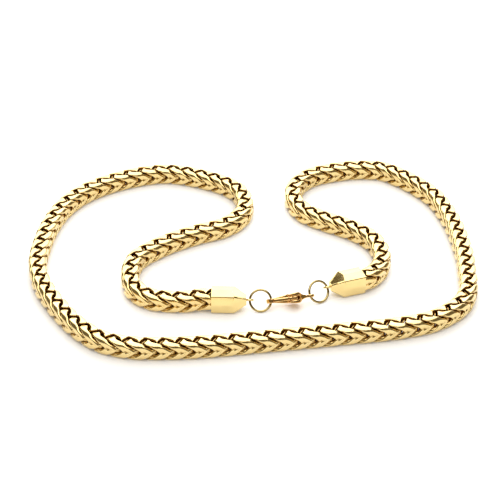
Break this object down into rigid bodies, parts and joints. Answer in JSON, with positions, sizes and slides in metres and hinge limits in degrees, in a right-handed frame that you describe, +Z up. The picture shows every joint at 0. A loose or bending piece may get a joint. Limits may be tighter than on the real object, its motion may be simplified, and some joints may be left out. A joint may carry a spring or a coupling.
{
  "type": "franco chain necklace",
  "caption": "Gold square-woven franco chain necklace lying closed on a table, with faceted end caps, jump rings and a claw clasp whose sprung lever opens.",
  "frame": {"origin": "on the table under the middle of the lying necklace's bounding box", "axes": "+Z up from the table, +X to the viewer's right along the necklace's longest extent, +Y away from the viewer"},
  "size_m": [0.1506, 0.117, 0.0073],
  "materials": {
    "chain_gold": "polished gold plating with dark shadowed gaps between the links",
    "cap_gold": "mirror-polished gold plating with fine hairlines along the facets",
    "ring_gold": "polished drawn wire",
    "clasp_gold": "cast and tumbled gold plating, slightly softer in the recesses"
  },
  "bodies": {
    "necklace": {"chain_left": "chain_gold", "chain_right": "chain_gold", "end_cap_left": "cap_gold", "end_cap_right": "cap_gold", "jump_ring_left": "ring_gold", "jump_ring_right": "ring_gold", "clasp_body": "clasp_gold", "clasp_pin": "clasp_gold"},
    "lever": {"clasp_lever": "clasp_gold"}
  },
  "joints": [
    {"name": "lever_hinge", "type": "hinge", "parent": "necklace", "child": "lever", "pos_m": [0.01421, -0.02847, 0.00342], "axis": [0.129, -0.5589, -0.8192], "range_deg": [0, 18], "stiffness_Nm_per_rad": 0.002}
  ]
}
